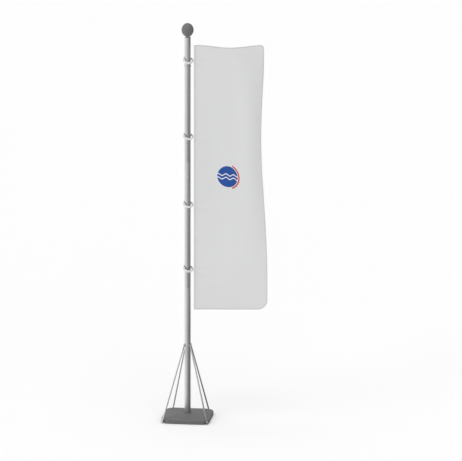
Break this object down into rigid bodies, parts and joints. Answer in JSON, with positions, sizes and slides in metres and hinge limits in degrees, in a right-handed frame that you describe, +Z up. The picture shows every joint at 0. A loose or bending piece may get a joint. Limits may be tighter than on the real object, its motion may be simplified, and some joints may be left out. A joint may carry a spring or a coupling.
{
  "type": "banner pole",
  "caption": "Free-standing round pole on a weighted square base with leaning braces and a ball finial, with a tall banner hung beside it from loose rings.",
  "frame": {"origin": "on the mast's axis at floor level, at the underside of the middle foot pad", "axes": "+Z up the mast; -Y is the front; the banner hangs towards +X, turned 7.5 degrees to +Y"},
  "size_m": [1.2663, 0.6412, 5],
  "materials": {
    "grey_plastic": "satin",
    "dark_steel": "satin",
    "concrete": "matte",
    "zinc_steel": "satin",
    "black_rubber": "matte",
    "mast_aluminium": "satin",
    "brace_aluminium": "satin",
    "sleeve_aluminium": "satin",
    "pale_plastic": "satin",
    "banner_cloth": "matte",
    "heading_webbing": "matte"
  },
  "bodies": {
    "base": {"base_cover": "grey_plastic", "base_pan": "dark_steel", "ballast_slab": "concrete", "pole_socket": "dark_steel", "socket_bolt_1": "zinc_steel", "socket_bolt_2": "zinc_steel", "socket_bolt_3": "zinc_steel", "socket_bolt_4": "zinc_steel", "foot_pad_front_left": "black_rubber", "foot_pad_front_right": "black_rubber", "foot_pad_back_right": "black_rubber", "foot_pad_back_left": "black_rubber", "foot_pad_centre": "black_rubber", "brace_lug_front_left": "dark_steel", "brace_lug_front_right": "dark_steel", "brace_lug_back_right": "dark_steel", "brace_lug_back_left": "dark_steel", "mast_lower": "mast_aluminium", "joint_sleeve_lower": "sleeve_aluminium", "brace_collar": "mast_aluminium", "brace_pin_front_left": "zinc_steel", "brace_pin_front_right": "zinc_steel", "brace_pin_back_right": "zinc_steel", "brace_pin_back_left": "zinc_steel"},
    "knob": {"collar_knob": "grey_plastic"},
    "middle_mast": {"mast_middle": "mast_aluminium", "joint_sleeve_upper": "sleeve_aluminium"},
    "upper_mast": {"mast_upper": "mast_aluminium", "top_cap": "mast_aluminium"},
    "finial": {"finial_ball": "grey_plastic", "finial_stud": "zinc_steel"},
    "hoist_band": {"stop_band": "mast_aluminium"},
    "banner": {"banner_cloth": "banner_cloth", "heading_tape": "heading_webbing", "ring_clip_1": "pale_plastic", "ring_clip_2": "pale_plastic", "ring_clip_3": "pale_plastic", "ring_clip_4": "pale_plastic", "ring_pin_1": "zinc_steel", "ring_pin_2": "zinc_steel", "ring_pin_3": "zinc_steel", "ring_pin_4": "zinc_steel"},
    "brace_front_left": {"brace_tube_front_left": "brace_aluminium", "brace_foot_front_left": "zinc_steel"},
    "nut_front_left": {"hand_nut_front_left": "zinc_steel"},
    "brace_front_right": {"brace_tube_front_right": "brace_aluminium", "brace_foot_front_right": "zinc_steel"},
    "nut_front_right": {"hand_nut_front_right": "zinc_steel"},
    "brace_back_right": {"brace_tube_back_right": "brace_aluminium", "brace_foot_back_right": "zinc_steel"},
    "nut_back_right": {"hand_nut_back_right": "zinc_steel"},
    "brace_back_left": {"brace_tube_back_left": "brace_aluminium", "brace_foot_back_left": "zinc_steel"},
    "nut_back_left": {"hand_nut_back_left": "zinc_steel"},
    "ring_1": {"banner_ring_1": "pale_plastic"},
    "ring_2": {"banner_ring_2": "pale_plastic"},
    "ring_3": {"banner_ring_3": "pale_plastic"},
    "ring_4": {"banner_ring_4": "pale_plastic"}
  },
  "joints": [
    {"name": "knob_turn", "type": "hinge", "parent": "base", "child": "knob", "pos_m": [0, 0.055, 0.935], "axis": [0, 1, 0], "continuous": true},
    {"name": "middle_lift", "type": "slide", "parent": "base", "child": "middle_mast", "axis": [0, 0, 1], "range_m": [0, 0.15]},
    {"name": "upper_lift", "type": "slide", "parent": "middle_mast", "child": "upper_mast", "axis": [0, 0, 1], "range_m": [0, 0.15]},
    {"name": "finial_turn", "type": "hinge", "parent": "upper_mast", "child": "finial", "pos_m": [0, 0, 4.915], "axis": [0, 0, 1], "continuous": true},
    {"name": "hoist_slide", "type": "slide", "parent": "upper_mast", "child": "hoist_band", "axis": [0, 0, 1], "range_m": [-0.4, 0.12]},
    {"name": "banner_swing", "type": "hinge", "parent": "hoist_band", "child": "banner", "pos_m": [0, 0, 4.45], "axis": [0, 0, 1], "continuous": true},
    {"name": "brace_swing_front_left", "type": "hinge", "parent": "base", "child": "brace_front_left", "pos_m": [-0.03677, -0.03677, 0.935], "axis": [-0.7071, 0.7071, 0], "range_deg": [0, 65]},
    {"name": "nut_turn_front_left", "type": "hinge", "parent": "brace_front_left", "child": "nut_front_left", "pos_m": [-0.26956, -0.26956, 0.04387], "axis": [-0.245, -0.245, -0.938], "continuous": true},
    {"name": "brace_swing_front_right", "type": "hinge", "parent": "base", "child": "brace_front_right", "pos_m": [0.03677, -0.03677, 0.935], "axis": [-0.7071, -0.7071, 0], "range_deg": [0, 65]},
    {"name": "nut_turn_front_right", "type": "hinge", "parent": "brace_front_right", "child": "nut_front_right", "pos_m": [0.26956, -0.26956, 0.04387], "axis": [0.245, -0.245, -0.938], "continuous": true},
    {"name": "brace_swing_back_right", "type": "hinge", "parent": "base", "child": "brace_back_right", "pos_m": [0.02983, 0.0426, 0.935], "axis": [0.8192, -0.5736, 0], "range_deg": [0, 65]},
    {"name": "nut_turn_back_right", "type": "hinge", "parent": "brace_back_right", "child": "nut_back_right", "pos_m": [0.21866, 0.31228, 0.04387], "axis": [0.1988, 0.2839, -0.938], "continuous": true},
    {"name": "brace_swing_back_left", "type": "hinge", "parent": "base", "child": "brace_back_left", "pos_m": [-0.02983, 0.0426, 0.935], "axis": [0.8192, 0.5736, 0], "range_deg": [0, 65]},
    {"name": "nut_turn_back_left", "type": "hinge", "parent": "brace_back_left", "child": "nut_back_left", "pos_m": [-0.21866, 0.31228, 0.04387], "axis": [-0.1988, 0.2839, -0.938], "continuous": true},
    {"name": "ring_tilt_1", "type": "hinge", "parent": "banner", "child": "ring_1", "pos_m": [0.0689, 0.00907, 4.51976], "axis": [-0.1227, 0.9317, 0.342], "range_deg": [-12, 1]},
    {"name": "ring_tilt_2", "type": "hinge", "parent": "banner", "child": "ring_2", "pos_m": [0.0689, 0.00907, 3.55683], "axis": [-0.1227, 0.9317, 0.342], "range_deg": [-12, 1]},
    {"name": "ring_tilt_3", "type": "hinge", "parent": "banner", "child": "ring_3", "pos_m": [0.0689, 0.00907, 2.69698], "axis": [-0.1227, 0.9317, 0.342], "range_deg": [-12, 1]},
    {"name": "ring_tilt_4", "type": "hinge", "parent": "banner", "child": "ring_4", "pos_m": [0.0689, 0.00907, 1.88199], "axis": [-0.1227, 0.9317, 0.342], "range_deg": [-12, 1]}
  ]
}
